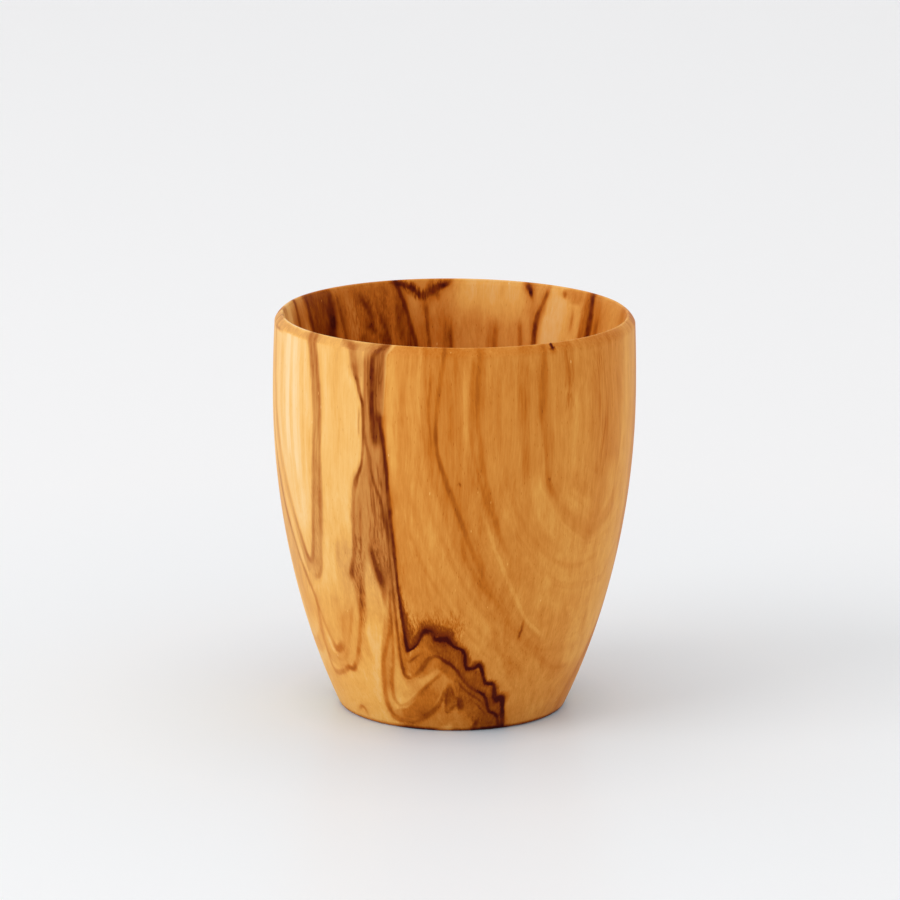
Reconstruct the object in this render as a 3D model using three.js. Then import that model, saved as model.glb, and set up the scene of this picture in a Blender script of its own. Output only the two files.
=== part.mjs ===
import * as THREE from "three";

// A small round drinking cup, turned and hollowed from one block of olive wood.
// Millimetres, +Z up. The origin is the middle of the flat underside.

// Overall sizes of the outside
const HEIGHT = 60;
const BELLY_DIAMETER = 54.3;
const BELLY_BELOW_RIM = 12;
const RIM_DIAMETER = 53.8;
const FOOT_DIAMETER = 33.9;

// Sweep of the outer wall: its lean at the foot, and how far each end holds its direction
const FOOT_FLARE_DEG = 25;
const FOOT_REACH = 12.5;
const BELLY_REACH = 19.8;

// Edge that meets the table
const FOOT_EASE = 0.5;

// Lip: a softly crowned bevel on the outside and a small eased edge inside the mouth
const LIP_WIDTH = 1.3;
const LIP_DROP = 1.25;
const LIP_CROWN = 0.12;
const MOUTH_EASE = 0.3;

// Hollow: the wall thickens from the lip down over the taper, then keeps its thickness to the floor
const WALL = 5;
const WALL_TAPER = 28;
const FLOOR = 9;
const HOLLOW_CORNER = 10;

// Fineness of the facets
const TURN_STEPS = 64;
const SWELL_STEPS = 16;
const DRAW_IN_STEPS = 5;
const EDGE_STEPS = 4;
const CORNER_STEPS = 7;

const point = (radius, height) => new THREE.Vector2(radius, height);
const bend = (start, control, end, steps) =>
  new THREE.QuadraticBezierCurve(start, control, end).getPoints(steps);

// Outside, from the foot's eased edge up to the belly
const footCorner = point(FOOT_DIAMETER / 2, 0);
const flare = THREE.MathUtils.degToRad(FOOT_FLARE_DEG);
const upFromFoot = (length) =>
  point(Math.sin(flare), Math.cos(flare)).multiplyScalar(length).add(footCorner);
const underside = point(footCorner.x - FOOT_EASE, 0);
const footEdge = bend(underside, footCorner, upFromFoot(FOOT_EASE), EDGE_STEPS);

const belly = point(BELLY_DIAMETER / 2, HEIGHT - BELLY_BELOW_RIM);
const swell = new THREE.CubicBezierCurve(
  upFromFoot(FOOT_EASE),
  upFromFoot(FOOT_REACH),
  point(belly.x, belly.y - BELLY_REACH),
  belly,
).getPoints(SWELL_STEPS);

// From the belly the wall draws in a little to the rim
const rim = point(RIM_DIAMETER / 2, HEIGHT - LIP_DROP);
const drawIn = bend(belly, point(belly.x, (belly.y + rim.y) / 2), rim, DRAW_IN_STEPS);
const outerWall = [...swell, ...drawIn.slice(1)];

// Over the lip and into the mouth
const mouthRadius = rim.x - LIP_WIDTH;
const crest = point(mouthRadius + MOUTH_EASE, HEIGHT);
const bevel = crest.clone().sub(rim);
const outOfBevel = point(bevel.y, -bevel.x).normalize();
const crown = rim.clone().add(crest).divideScalar(2).addScaledVector(outOfBevel, 2 * LIP_CROWN);
const lip = bend(rim, crown, crest, EDGE_STEPS);
const mouth = point(mouthRadius, HEIGHT - MOUTH_EASE);
const mouthEdge = bend(crest, point(mouthRadius, HEIGHT), mouth, EDGE_STEPS);

// Radius of the outside and of the hollow at a height
function outerRadius(height) {
  const above = outerWall.findIndex((p) => p.y >= height);
  if (above < 0) return rim.x;
  const high = outerWall[above];
  const low = outerWall[Math.max(above - 1, 0)];
  const share = high.y > low.y ? (height - low.y) / (high.y - low.y) : 0;
  return THREE.MathUtils.lerp(low.x, high.x, share);
}

function hollowRadius(height) {
  const thinning = Math.max(0, 1 - (HEIGHT - height) / WALL_TAPER);
  const wall = WALL - (WALL - LIP_WIDTH) * thinning ** 2;
  return outerRadius(height) - wall;
}

// Down the hollow to its rounded corner, and across the floor
const cornerTop = point(hollowRadius(FLOOR + HOLLOW_CORNER), FLOOR + HOLLOW_CORNER);
const innerWall = outerWall
  .filter((p) => p.y > cornerTop.y && p.y < mouth.y)
  .reverse()
  .map((p) => point(hollowRadius(p.y), p.y));
const wallSlope = hollowRadius(cornerTop.y + 1) - cornerTop.x;
const cornerFoot = point(cornerTop.x - wallSlope * HOLLOW_CORNER, FLOOR);
const floorEdge = point(cornerFoot.x - HOLLOW_CORNER, FLOOR);
const corner = bend(cornerTop, cornerFoot, floorEdge, CORNER_STEPS);

// The whole section, from the middle of the underside to the middle of the hollow's floor
const section = [
  point(0, 0),
  ...footEdge,
  ...outerWall.slice(1),
  ...lip.slice(1),
  ...mouthEdge.slice(1),
  ...innerWall,
  ...corner,
  point(0, FLOOR),
];

// The section turns about the cup's axis, stood up along +Z
const turned = new THREE.LatheGeometry(section, TURN_STEPS);
turned.rotateX(Math.PI / 2);

const oliveWood = new THREE.MeshStandardMaterial({
  name: "olive_wood",
  color: 0xcf8f47,
  roughness: 0.45,
  metalness: 0,
});

const turnedCup = new THREE.Mesh(turned, oliveWood);
turnedCup.name = "turned_cup";

const cup = new THREE.Group();
cup.add(turnedCup);

export default cup;
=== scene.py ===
import math

import bpy
import numpy as np
from mathutils import Matrix, Vector


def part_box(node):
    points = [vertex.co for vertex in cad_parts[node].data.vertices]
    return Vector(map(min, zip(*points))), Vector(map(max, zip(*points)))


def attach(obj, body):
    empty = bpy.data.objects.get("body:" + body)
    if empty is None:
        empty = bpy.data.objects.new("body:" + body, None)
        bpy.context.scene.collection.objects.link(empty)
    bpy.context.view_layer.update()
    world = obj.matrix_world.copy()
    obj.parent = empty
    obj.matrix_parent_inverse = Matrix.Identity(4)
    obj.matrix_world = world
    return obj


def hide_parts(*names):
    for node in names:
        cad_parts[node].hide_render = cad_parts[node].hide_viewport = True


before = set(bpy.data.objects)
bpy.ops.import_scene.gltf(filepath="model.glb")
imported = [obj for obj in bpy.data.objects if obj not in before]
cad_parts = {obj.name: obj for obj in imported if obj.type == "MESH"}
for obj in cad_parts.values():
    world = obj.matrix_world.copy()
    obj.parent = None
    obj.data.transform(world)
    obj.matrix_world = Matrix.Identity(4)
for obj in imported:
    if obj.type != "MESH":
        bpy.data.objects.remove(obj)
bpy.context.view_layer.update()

# The cup: one block of olive wood, turned between centres, cut flat under the foot, hollowed from
# the top and sanded. The lip is bevelled outside and the other edges are eased.
# Millimetres, as a section from the middle of the underside, over the lip, to the middle of the hollow.
MM = 0.001
low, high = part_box("turned_cup")
HEIGHT = (high.z - low.z) / MM
BELLY_RADIUS = (high.x - low.x) / 2 / MM
BELLY_BELOW_RIM = 12
RIM_RADIUS = 26.9
FOOT_RADIUS = 16.95
FOOT_FLARE = math.radians(25)
FOOT_REACH = 12.5
BELLY_REACH = 19.8
FOOT_EASE = 0.5
LIP_WIDTH = 1.3
LIP_DROP = 1.25
LIP_CROWN = 0.12
MOUTH_EASE = 0.3
WALL = 5
WALL_TAPER = 28
FLOOR = 9
HOLLOW_CORNER = 10
FOOT_TO_BELLY_STEPS = 102
BELLY_TO_RIM_STEPS = 22
LIP_STEPS = 8
EDGE_STEPS = 4
HOLLOW_STEPS = 44
CORNER_STEPS = 10
UNDERSIDE_STEPS = 9
FLOOR_STEPS = 4
CLOSER_AT_MOUTH = 1.35


def bend(start, control, end, steps):
    """A curve that leaves its start and reaches its end toward one control point."""
    t = np.linspace(0, 1, steps + 1)[:, None]
    a, b, c = (np.array(p, float) for p in (start, control, end))
    return (1 - t) ** 2 * a + 2 * t * (1 - t) * b + t * t * c


def sweep(start, leave, arrive, end, steps):
    """A longer curve, with a control point for each of its ends."""
    t = np.linspace(0, 1, steps + 1)[:, None]
    a, b, c, d = (np.array(p, float) for p in (start, leave, arrive, end))
    return (1 - t) ** 3 * a + 3 * t * (1 - t) ** 2 * b + 3 * t * t * (1 - t) * c + t ** 3 * d


def up_from_foot(length):
    """A point some way up the straight line at which the wall leaves the foot."""
    return FOOT_RADIUS + length * math.sin(FOOT_FLARE), length * math.cos(FOOT_FLARE)


belly = (BELLY_RADIUS, HEIGHT - BELLY_BELOW_RIM)
rim = (RIM_RADIUS, HEIGHT - LIP_DROP)
below_belly = (BELLY_RADIUS, belly[1] - BELLY_REACH)
above_belly = (BELLY_RADIUS, (belly[1] + rim[1]) / 2)
outer_wall = np.concatenate([
    sweep(up_from_foot(FOOT_EASE), up_from_foot(FOOT_REACH), below_belly, belly, FOOT_TO_BELLY_STEPS),
    bend(belly, above_belly, rim, BELLY_TO_RIM_STEPS)[1:],
])

mouth_radius = RIM_RADIUS - LIP_WIDTH
crest = np.array([mouth_radius + MOUTH_EASE, HEIGHT])
bevel = crest - rim
out_of_bevel = np.array([bevel[1], -bevel[0]]) / np.hypot(*bevel)
lip = bend(rim, (crest + rim) / 2 + out_of_bevel * 2 * LIP_CROWN, crest, LIP_STEPS)
mouth = (mouth_radius, HEIGHT - MOUTH_EASE)
mouth_edge = bend(crest, (mouth_radius, HEIGHT), mouth, EDGE_STEPS)


def hollow_radius(height):
    """Radius of the hollow at a height: the outside less a wall that thins toward the lip."""
    thinning = np.maximum(0, 1 - (HEIGHT - height) / WALL_TAPER)
    wall = WALL - (WALL - LIP_WIDTH) * thinning ** 2
    return np.interp(height, outer_wall[:, 1], outer_wall[:, 0]) - wall


# Rows lie closer together near the mouth, where the hollow is seen
corner_height = FLOOR + HOLLOW_CORNER
down_hollow = np.linspace(0, 1, HOLLOW_STEPS + 1)[1:] ** CLOSER_AT_MOUTH
inner_heights = mouth[1] + (corner_height - mouth[1]) * down_hollow
inner_wall = np.stack([hollow_radius(inner_heights), inner_heights], 1)
wall_slope = hollow_radius(corner_height + 1) - inner_wall[-1, 0]
corner_foot = np.array([inner_wall[-1, 0] - wall_slope * HOLLOW_CORNER, FLOOR])
corner = bend(inner_wall[-1], corner_foot, corner_foot - (HOLLOW_CORNER, 0), CORNER_STEPS)[1:]

foot_edge = bend((FOOT_RADIUS - FOOT_EASE, 0), (FOOT_RADIUS, 0), up_from_foot(FOOT_EASE), EDGE_STEPS)
underside_radii = np.linspace(0, FOOT_RADIUS - FOOT_EASE, UNDERSIDE_STEPS + 1)[1:-1]
floor_radii = np.linspace(corner[-1, 0], 0, FLOOR_STEPS + 1)[1:-1]
section = np.concatenate([
    np.stack([underside_radii, np.zeros_like(underside_radii)], 1),
    foot_edge, outer_wall[1:], lip[1:], mouth_edge[1:], inner_wall, corner,
    np.stack([floor_radii, np.full_like(floor_radii, FLOOR)], 1),
])
rows = len(section)

# The front is divided finely, to carry the fine lines of the figure
FINE_SIDE = 75
FINE_COLUMNS = 273
BACK_STEP = 1.25
columns_deg = np.concatenate([
    np.linspace(-FINE_SIDE, FINE_SIDE, FINE_COLUMNS, endpoint=False),
    np.arange(FINE_SIDE, 360 - FINE_SIDE, BACK_STEP),
])
columns = len(columns_deg)
degrees = np.tile(columns_deg, rows)
radius = np.repeat(section[:, 0], columns)
height = np.repeat(section[:, 1], columns)
turn = np.radians(degrees)

# Turned by hand, it is a hair out of round and its lip isn't dead level
OUT_OF_ROUND = 0.08
LONG_WAY = 0.7
LIP_WAVE = 0.1
LIP_WAVE_DEPTH = 10
LIP_LOW_SIDE = 2.2
near_lip = np.clip((height - HEIGHT + LIP_WAVE_DEPTH) / LIP_WAVE_DEPTH, 0, 1) ** 2
true_radius = radius + OUT_OF_ROUND * np.sin(2 * turn + LONG_WAY) * height / HEIGHT
true_height = height - LIP_WAVE * near_lip * (0.5 + 0.5 * np.sin(turn + LIP_LOW_SIDE))
points = np.stack([true_radius * np.sin(turn), -true_radius * np.cos(turn), true_height], 1)
underside_middle = rows * columns
floor_middle = underside_middle + 1
points = np.concatenate([points, [[0, 0, 0], [0, 0, FLOOR]]])

row, column = (a.ravel() for a in np.meshgrid(np.arange(rows - 1), np.arange(columns), indexing="ij"))
beside = (column + 1) % columns
walls = np.stack([row * columns + column, row * columns + beside,
                  (row + 1) * columns + beside, (row + 1) * columns + column], 1)
spoke = np.arange(columns)
next_spoke = (spoke + 1) % columns
last_row = (rows - 1) * columns
underside = np.stack([np.full(columns, underside_middle), next_spoke, spoke], 1)
floor = np.stack([np.full(columns, floor_middle), last_row + spoke, last_row + next_spoke], 1)

cup_mesh = bpy.data.meshes.new("turned_cup_wood")
cup_mesh.from_pydata((points * MM).tolist(), [], walls.tolist() + underside.tolist() + floor.tolist())
cup_mesh.shade_smooth()
cup = bpy.data.objects.new("turned_cup_wood", cup_mesh)
bpy.context.scene.collection.objects.link(cup)
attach(cup, "root")
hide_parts("turned_cup")

# A place on the wood is degrees round from the front and millimetres up the outside. The millimetres
# count on past the crest, down the hollow and across its floor, and run below 0 under the foot.
crest_row = int(np.argmax(section[:, 1]))
foot_row = len(underside_radii)
corner_row = rows - len(floor_radii) - len(corner)
floor_row = rows - len(floor_radii) - 1
along = np.concatenate([[0], np.cumsum(np.hypot(*np.diff(section, axis=0).T))])
rows_up = np.where(np.arange(rows) <= crest_row, section[:, 1], 2 * HEIGHT - section[:, 1])
rows_up[:foot_row] = along[:foot_row] - along[foot_row]
rows_up[corner_row:] = rows_up[corner_row - 1] + along[corner_row:] - along[corner_row - 1]
up = np.repeat(rows_up, columns)

# The wood laid out flat for baking: the front of the outside in the tallest strip, then the back,
# the hollow all round, and the underside and the hollow's floor as two discs
FRONT_STRIP = (0.005, 0.365)
BACK_STRIP = (0.372, 0.612)
HOLLOW_STRIP = (0.619, 0.812)
DISC_UP = 0.906
DISC_RADIUS = 0.087
FOOT_DISC_ACROSS = 0.1
FLOOR_DISC_ACROSS = 0.3
FLOOR_DISC_MARGIN = 1.01
STRIP_MARGIN = 0.004
step_deg = (columns_deg[beside] - columns_deg[column]) % 360
start_deg = (columns_deg[column] + 90) % 360
at_front = start_deg < 180
outside = (row >= foot_row) & (row < crest_row)
hollow = (row >= crest_row) & (row < floor_row)
corner_rows = np.stack([row, row, row + 1, row + 1], 1)
corner_deg = np.stack([start_deg, start_deg + step_deg, start_deg + step_deg, start_deg], 1)
strip_deg = np.where(outside, np.where(at_front, 0, 180), 0)[:, None]
strip_span = np.where(outside, 180, 360)[:, None]
bottom = np.where(outside, np.where(at_front, FRONT_STRIP[0], BACK_STRIP[0]), HOLLOW_STRIP[0])[:, None]
top = np.where(outside, np.where(at_front, FRONT_STRIP[1], BACK_STRIP[1]), HOLLOW_STRIP[1])[:, None]
first = np.where(outside, along[foot_row], along[crest_row])[:, None]
last = np.where(outside, along[crest_row], along[floor_row])[:, None]
across = STRIP_MARGIN + (1 - 2 * STRIP_MARGIN) * (corner_deg - strip_deg) / strip_span
upward = bottom + (top - bottom) * (along[corner_rows] - first) / (last - first)
wall_map = np.stack([across, upward], -1)


def disc(middle, corner_points, full_radius):
    """Corners seen from straight above, as a disc round a middle on the baking map."""
    return np.array([middle, DISC_UP]) + corner_points[..., :2] / full_radius * DISC_RADIUS


flat = ~(outside | hollow)
floor_reach = corner[-1, 0] * FLOOR_DISC_MARGIN
foot_disc = disc(FOOT_DISC_ACROSS, points[walls], FOOT_RADIUS)
floor_disc = disc(FLOOR_DISC_ACROSS, points[walls], floor_reach)
wall_map[flat] = np.where((row < foot_row)[:, None, None], foot_disc, floor_disc)[flat]
cup_map = np.concatenate([
    wall_map.reshape(-1, 2),
    disc(FOOT_DISC_ACROSS, points[underside], FOOT_RADIUS).reshape(-1, 2),
    disc(FLOOR_DISC_ACROSS, points[floor], floor_reach).reshape(-1, 2),
])
cup_mesh.uv_layers.new(name="OFBake").data.foreach_set("uv", cup_map.astype(np.float32).ravel())

# The figure is painted and drawn through places on the wood. A place may carry a half-width and a
# share of the ink of its own. A wash sets the tone of the ground under a soft-edged stroke. A vein is a
# dark line, a stain is dark fibres, and a shade is dark at the line and fades to the left of the way drawn.
STEP = 0.15
MM_PER_DEGREE = 0.42


def evenly(places, half_width, sharp=False):
    """Even steps of a line through places: degrees, millimetres up, half-width and share of ink."""
    usual = (half_width, 1)
    knots = np.array([(*place, *usual[len(place) - 2:]) for place in places], float)
    longer = np.concatenate([[2 * knots[0] - knots[1]], knots, [2 * knots[-1] - knots[-2]]])
    runs = []
    for before, start, end, after in zip(longer, longer[1:], longer[2:], longer[3:]):
        length = math.hypot((end[0] - start[0]) * MM_PER_DEGREE, end[1] - start[1])
        t = np.linspace(0, 1, max(2, int(length / STEP)), endpoint=False)[:, None]
        leave = end - start if sharp else (end - before) / 2
        arrive = end - start if sharp else (after - start) / 2
        runs.append(start * (1 + 2 * t) * (1 - t) ** 2 + leave * t * (1 - t) ** 2
                    + end * t * t * (3 - 2 * t) + arrive * t * t * (t - 1))
    return np.concatenate(runs + [knots[-1:]])


def round_turn(angle):
    """The same angle between -180 and 180 degrees."""
    return (angle + 180) % 360 - 180


COARSE = 8
BATCH = 8000


def measure(path, reach):
    """Signed distance to a path, its nearest step and the plain distance, for points within reach."""
    margin = reach + 1
    tall = (up > path[:, 1].min() - margin) & (up < path[:, 1].max() + margin)
    middle = (path[:, 0].min() + path[:, 0].max()) / 2
    spread = (path[:, 0].max() - path[:, 0].min()) / 2
    wide = np.abs(round_turn(degrees - middle)) < spread + np.degrees(margin / np.maximum(radius, 1))
    near = np.flatnonzero(tall & wide)
    scale = np.radians(radius[near])
    coarse = path[::COARSE]
    best = np.zeros(len(near), int)
    for part in np.array_split(np.arange(len(near)), len(near) // BATCH + 1):
        across = round_turn(degrees[near[part], None] - coarse[:, 0]) * scale[part, None]
        rise = up[near[part], None] - coarse[:, 1]
        best[part] = np.argmin(across ** 2 + rise ** 2, 1) * COARSE
    window = np.clip(best[:, None] + np.arange(-COARSE - 1, COARSE + 2), 0, len(path) - 1)
    across = round_turn(degrees[near, None] - path[window, 0]) * scale[:, None]
    rise = up[near, None] - path[window, 1]
    gap = across ** 2 + rise ** 2
    pick = np.argmin(gap, 1)
    each = np.arange(len(near))
    step = window[each, pick]
    ahead = path[np.minimum(step + 1, len(path) - 1)]
    behind = path[np.maximum(step - 1, 0)]
    tangent = np.stack([round_turn(ahead[:, 0] - behind[:, 0]) * scale, ahead[:, 1] - behind[:, 1]], 1)
    tangent /= np.maximum(np.hypot(*tangent.T), 1e-6)[:, None]
    square = tangent[:, 0] * rise[each, pick] - tangent[:, 1] * across[each, pick]
    corner_gap = np.sqrt(np.maximum(0, gap[each, pick] - STEP ** 2))
    signed = np.where(square < 0, -1, 1) * np.maximum(np.abs(square), corner_gap)
    return near, signed, step, np.sqrt(gap[each, pick])


YELLOW = 0.33
AMBER = 0.58
YELLOW_FROM = -100
YELLOW_TO = 60
YELLOW_FADE = 30
around = round_turn(degrees)
past_yellow = np.clip((YELLOW_FROM - around) / YELLOW_FADE, 0, 1) + (around > YELLOW_TO)
left_wood = YELLOW + (AMBER - YELLOW) * past_yellow
right_wood = np.full(len(up), AMBER)
LEFT = (left_wood,)
RIGHT = (right_wood,)
BOTH = (left_wood, right_wood)
WASH_INNER = 0.7
WASH_OUTER = 1.3
WASH_FADE = 4


def ends(path, fade):
    """A share for each step of a path: 1 along it, falling to 0 at both ends."""
    strides = np.hypot(*(np.diff(path[:, :2], axis=0) * (MM_PER_DEGREE, 1)).T)
    run = np.concatenate([[0], np.cumsum(strides)])
    return np.clip(np.minimum(run, run[-1] - run) / min(fade, run[-1] / 3), 0, 1)


def wash(woods, tone, half_width, *places):
    """Paints woods, the ground on one or both sides of the long line, toward a tone."""
    path = evenly(places, half_width)
    near, signed, step, gap = measure(path, WASH_OUTER * path[:, 2].max())
    edge = np.clip((WASH_OUTER - gap / path[step, 2]) / (WASH_OUTER - WASH_INNER), 0, 1)
    cover = path[step, 3] * edge ** 2 * (3 - 2 * edge) * ends(path, WASH_FADE)[step]
    for wood in woods:
        wood[near] += (tone - wood[near]) * cover


# A mark reaches so many half-widths from its line, and so many millimetres more
marks = {"stain": [], "shade": [], "vein": []}
REACH = {"stain": (1.5, 0.8), "shade": (1.7, 0.5), "vein": (3.4, 0.9)}
END_FADE = 1.5
EDGE_FADE = 0.3
CLEAR = 0.8
NO_MARK = (9.0, 1.0, 0.0)
rings = []


def draw(kind, ink, half_width, *places, sharp=False, ring=None):
    """Adds a mark to the first sheet of its kind where it keeps clear of the others."""
    path = evenly(places, half_width, sharp)
    if ring is not None:
        rings.append((ring, path))
    times, plus = REACH[kind]
    reach = times * path[:, 2].max() + plus
    near, signed, step, gap = measure(path, reach)
    close = gap < reach + CLEAR
    near, signed, step, gap = near[close], signed[close], step[close], gap[close]
    for sheet in marks[kind]:
        if not sheet["taken"][near].any():
            break
    else:
        sheet = {"taken": np.zeros(len(up), bool), "ink": np.tile(NO_MARK, (len(up), 1))}
        marks[kind].append(sheet)
    inside = np.clip((reach - gap) / (EDGE_FADE * reach), 0, 1)
    strength = ink * path[step, 3] * ends(path, END_FADE)[step] * inside
    sheet["taken"][near] = True
    sheet["ink"][near] = np.stack([signed, path[step, 2], strength], 1)


# Front left: the pale sapwood, cut so that its rings stand up as stripes, and the brown band that
# folds round it like a long pointed leaf
wash(LEFT, .41, 5, (-90, 1), (-60, 3), (-45, 3), (-28, 3.5))
wash(LEFT, .25, 5.5, (-66, 72), (-64.5, 62), (-63.5, 54), (-63, 44), (-61.6, 36, 4.4), (-58.8, 28, 2))
wash(LEFT, .12, .8, (-64.8, 63), (-65, 52), (-63.6, 40))
wash(LEFT, .16, .6, (-60, 62), (-59.8, 50), (-58.8, 36))
wash(LEFT, .62, .7, (-90, 60), (-79, 59.3), (-68, 58.8, .5))
wash(LEFT, .34, .6, (-56, 60), (-55.6, 50), (-55, 43), (-55.8, 34))
wash(LEFT, .33, .6, (-69.6, 60), (-69.8, 48), (-67.6, 40))
wash(LEFT, .32, .5, (-62.6, 54), (-62.2, 46), (-60.8, 38), (-59.6, 32))
wash(LEFT, .42, .5, (-95, 59.4), (-60, 59.4), (-38, 59.4))
wash(LEFT, .5, .8, (-50, 104, .5), (-53, 90, .6), (-57, 76, .7), (-58.5, 66, .7), (-56, 62.4, .7),
     (-51.6, 60, .8), (-49.8, 57, .8), (-48.2, 53), (-47.5, 49), (-47.7, 45), (-48.3, 41), (-49, 37),
     (-49.8, 33.4, 1.1, .9), (-51.4, 29.6, 1.1, .8), (-53, 26.2, 1.3, .9), (-55.6, 23.8, 1.5, 1.1),
     (-58.8, 24, 1.2, 1.1), (-61.6, 27, .9, .8), (-65.2, 31.2, .9, .6), (-68.6, 35, 1, .5),
     (-72, 38.8, 1, .4), (-75.5, 44, 1, .4), (-78, 50, .8, .4), (-79, 56, .8, .4), (-80, 61, .8, .5),
     (-80, 70, .6), (-78, 86, .5))
draw("vein", .34, .4, (-51.6, 104, .2), (-55, 90, .2), (-59, 76, .2), (-60.4, 66, .3), (-57.6, 62, .3),
     (-53.6, 60.2), (-51.6, 58.2, .5), (-50.4, 55, .5), (-49.5, 51, .4, .7), (-49.2, 47.4, .34, .5),
     (-49.5, 44, .36, .8), (-50.1, 40, .44), (-50.9, 36, .44), (-52.2, 32), (-54, 28, .44),
     (-56.8, 25.2, .5), (-59.4, 25.8), (-62, 28.6, .4, .8), (-65.5, 32.4, .5, .6), (-69, 36.2, .6, .5),
     (-72.4, 40, .6, .45), (-76, 46, .5, .4), (-78, 53, .4, .4), (-79, 61, .4, .5), (-79, 72, .2))
draw("vein", .32, .34, (-54.6, 64, .2), (-50.6, 60.2), (-48.8, 58.2, .4, 1.2), (-47.6, 55, .44, 1.2),
     (-46.6, 51.4, .44, 1.2), (-46.1, 48.4, .4, 1.1), (-46.3, 44, .3, .8), (-46.6, 40),
     (-47.2, 36, .5, 1.3), (-48.2, 32, .5, 1.3), (-49.6, 28, .36, .8), (-51.2, 24.6, .34, .6),
     (-53.4, 23.1, .34, .8), (-56.5, 22.8, .4, .8), (-58.6, 23.4, .3, .6))
draw("stain", .2, 1, (-50.4, 60), (-48.6, 54), (-47.6, 48), (-48.4, 40), (-50, 33), (-53, 26.4),
     (-56, 24))
rings.append((-4, evenly([(-66, 72), (-64, 56), (-61.6, 36)], 1)))
rings.append((-2.5, evenly([(-50, 60), (-47.5, 48), (-50, 33.4), (-56, 24), (-65, 31), (-75, 44)], 1)))

# Front left, below: rings that sag like a hanging cloth under the folded band, where the turned foot
# cuts across them
wash(LEFT, .45, 3, (-82, 40), (-76, 28), (-70, 20), (-67, 12))
wash(LEFT, .43, 1, (-68, 25), (-62, 21.6), (-57, 22.6), (-53, 21))
wash(LEFT, .52, .9, (-63, 27.6, .6), (-59.4, 25), (-56.6, 24.2), (-53.6, 25, .7), (-51, 29, .5))
wash(LEFT, .45, 1.2, (-90, 11), (-72, 10.4), (-62, 12.8), (-56, 15))
wash(LEFT, .36, .6, (-52.6, 48), (-52, 42.5), (-52.6, 36))
wash(LEFT, .48, 1.2, (-60.6, 18, .6), (-60.8, 13, .9), (-58.6, 9.8), (-52, 9.6), (-47.6, 10.4),
     (-44, 12.4, 1.4), (-41.6, 15, 1.5), (-40, 18, 1.2), (-37.6, 23, .8))
wash(LEFT, .44, 2.2, (-52, 23, 1.6), (-54, 18.6), (-53, 15.2), (-49.6, 15.4), (-46.6, 19, 1.6),
     (-45, 24, 1))
wash(LEFT, .46, 1.7, (-37, 33, .8), (-39.2, 27), (-39.6, 21.6), (-38.4, 15), (-36, 8))
wash(LEFT, .57, .7, (-55.4, 12.6), (-53, 11.5), (-50, 11.9), (-46.4, 13.2))
wash(LEFT, .5, 1.4, (-48, 13.6), (-45, 14.4), (-43, 16.6), (-41, 19.6))
wash(LEFT, .62, .4, (-52, 8.2), (-48.6, 8.7), (-45.4, 8.9), (-42, 10.4))
draw("vein", .36, .42, (-84, 62, .2), (-83, 52, .2), (-80, 42, .3), (-75, 34), (-70, 29), (-65.8, 24.6),
     (-62, 21.4), (-59.3, 19), (-60, 16, .4, .7), (-61.6, 12.8, .4, .6), (-62.4, 9.6, .4, .6),
     (-62, 7.8, .4, .8), (-60, 7.1, .5, 1.2), (-56, 7.4, .45, 1.2), (-51, 8.1), (-48.4, 8.8, .44, 1.2),
     (-45, 8.7, .44, 1.3), (-42.4, 10, .4, 1.2), (-40.2, 11.8, .36, 1.2), (-38.4, 13.4, .36, 1.2),
     (-36.7, 15.6, .36), (-35.3, 18, .32, .8), (-34.2, 20.4, .3, .6), (-33.4, 23, .25, .5),
     (-33, 26, .2, .4), ring=-2)
draw("vein", .26, .4, (-59, 18.4, .3), (-57, 15.2, .36, .7), (-55, 12.9), (-53, 11.5, .6, 1),
     (-50.6, 11.8, .6, 1), (-48, 12.5, .5, .8), (-46.4, 13.6, .4, .5), (-45.2, 15.2, .4, .4),
     (-43.8, 17.2, .5, .4), (-41, 18.2, .5, .3), (-39, 18.2, .3, .3))
draw("vein", .12, .3, (-57.6, 11), (-54, 9.8), (-50, 10), (-46.6, 11.2), (-43.6, 13.6), (-41, 16),
     (-38, 20))
draw("vein", .4, .26, (-51.6, 1.2), (-49, 2.2), (-46.4, 2.2), (-45, .6))
wash(LEFT, .38, 1, (-39, 62), (-38.6, 52), (-38, 46), (-38.6, 38))

# Front: the smoky brown streak left of the long line. It runs down from the lip, narrows, widens
# again and parts into two tongues.
wash(LEFT, .52, .5, (-39, 59.7), (-33, 59.3), (-27, 59.4))
wash(LEFT, .46, .5, (-31, 61), (-30.4, 57.4), (-29.7, 53.4))
wash(LEFT, .6, .45, (-28.4, 61), (-28.3, 56), (-28, 50))
wash(LEFT, .55, 1.5, (-20, 66, 1), (-24.6, 59), (-25.7, 54), (-25.7, 50), (-25.6, 46), (-25.6, 41))
wash(LEFT, .72, .8, (-20.6, 62, .8, .7), (-23.2, 58.6, .8, .7), (-23.6, 55), (-23.8, 51),
     (-24.2, 47.4, .9), (-23.2, 43.4, .9), (-22.4, 39.4, .8), (-21.9, 35.4, .7), (-21.4, 31, .5))
wash(LEFT, .61, 1.4, (-25.2, 49, .8), (-25.9, 43, 1.2), (-26.8, 38, 2.2), (-27.1, 34.6, 2.8),
     (-27.3, 31.6, 3), (-27.6, 28.6, 2.6), (-27.8, 24.6, 2.2))
wash(LEFT, .59, 1, (-31, 35, .8), (-31.8, 31, 1.1), (-32.4, 28.5, 1.2), (-33.2, 26, 1.3),
     (-33.8, 24.4, 1.3), (-33.6, 21.6, 1), (-34, 18.6, .9), (-34.6, 15.6, .6))
wash(LEFT, .7, 1.4, (-24.6, 34, 1.2), (-24.4, 30, 1.8), (-24.4, 27.5, 1.8), (-23.6, 25.2, 1.6, 1.1),
     (-22.8, 22.6, 1.2, 1.1), (-22.2, 18, .8))
wash(LEFT, .44, .5, (-29.6, 28.8, .2), (-29.3, 26.4, .36), (-29.1, 24.8, .7), (-28.7, 23, 1.1),
     (-28.6, 19, 1.4), (-29, 14, 1))
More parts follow.
